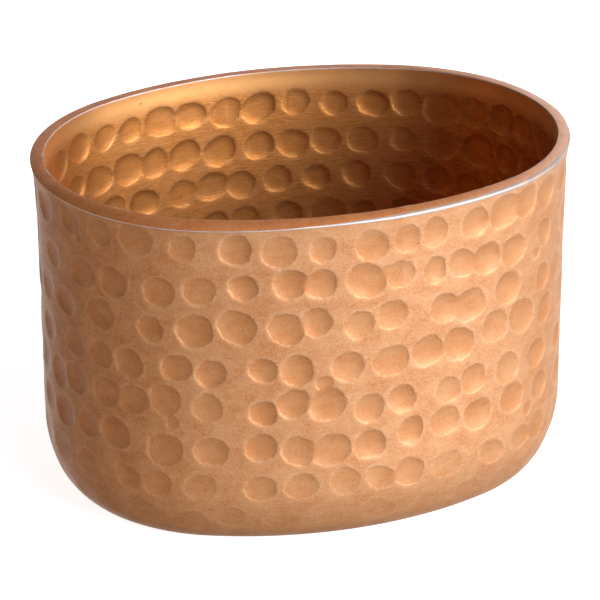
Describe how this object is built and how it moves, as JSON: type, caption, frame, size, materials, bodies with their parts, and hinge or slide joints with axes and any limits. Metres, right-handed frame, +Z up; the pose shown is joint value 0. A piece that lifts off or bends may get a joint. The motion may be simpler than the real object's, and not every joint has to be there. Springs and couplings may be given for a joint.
{
  "type": "oval double-walled bowl",
  "caption": "Small upright oval bowl in hammered copper, double-walled, with a flat rim band; holds condiments or other small goods.",
  "frame": {"origin": "centre of the foot's underside, on the table plane", "axes": "+X along the bowl's long axis, +Z up through the open mouth"},
  "size_m": [0.152, 0.115, 0.1],
  "materials": {
    "outer_copper": "satin copper, hammered, with fine horizontal grain",
    "inner_copper": "satin copper, hammered in rows, brushed between them",
    "rim_copper": "antiqued satin copper, worn at its edges",
    "outer_solder": "silver solder, filed",
    "inner_solder": "silver solder, filed",
    "base_copper": "dull copper sheet",
    "base_solder": "silver solder"
  },
  "bodies": {
    "root": {"outer_shell": "outer_copper", "inner_liner": "inner_copper", "rim_band": "rim_copper", "outer_rim_solder": "outer_solder", "inner_rim_solder": "inner_solder", "base_plate": "base_copper", "base_solder": "base_solder"}
  },
  "joints": []
}
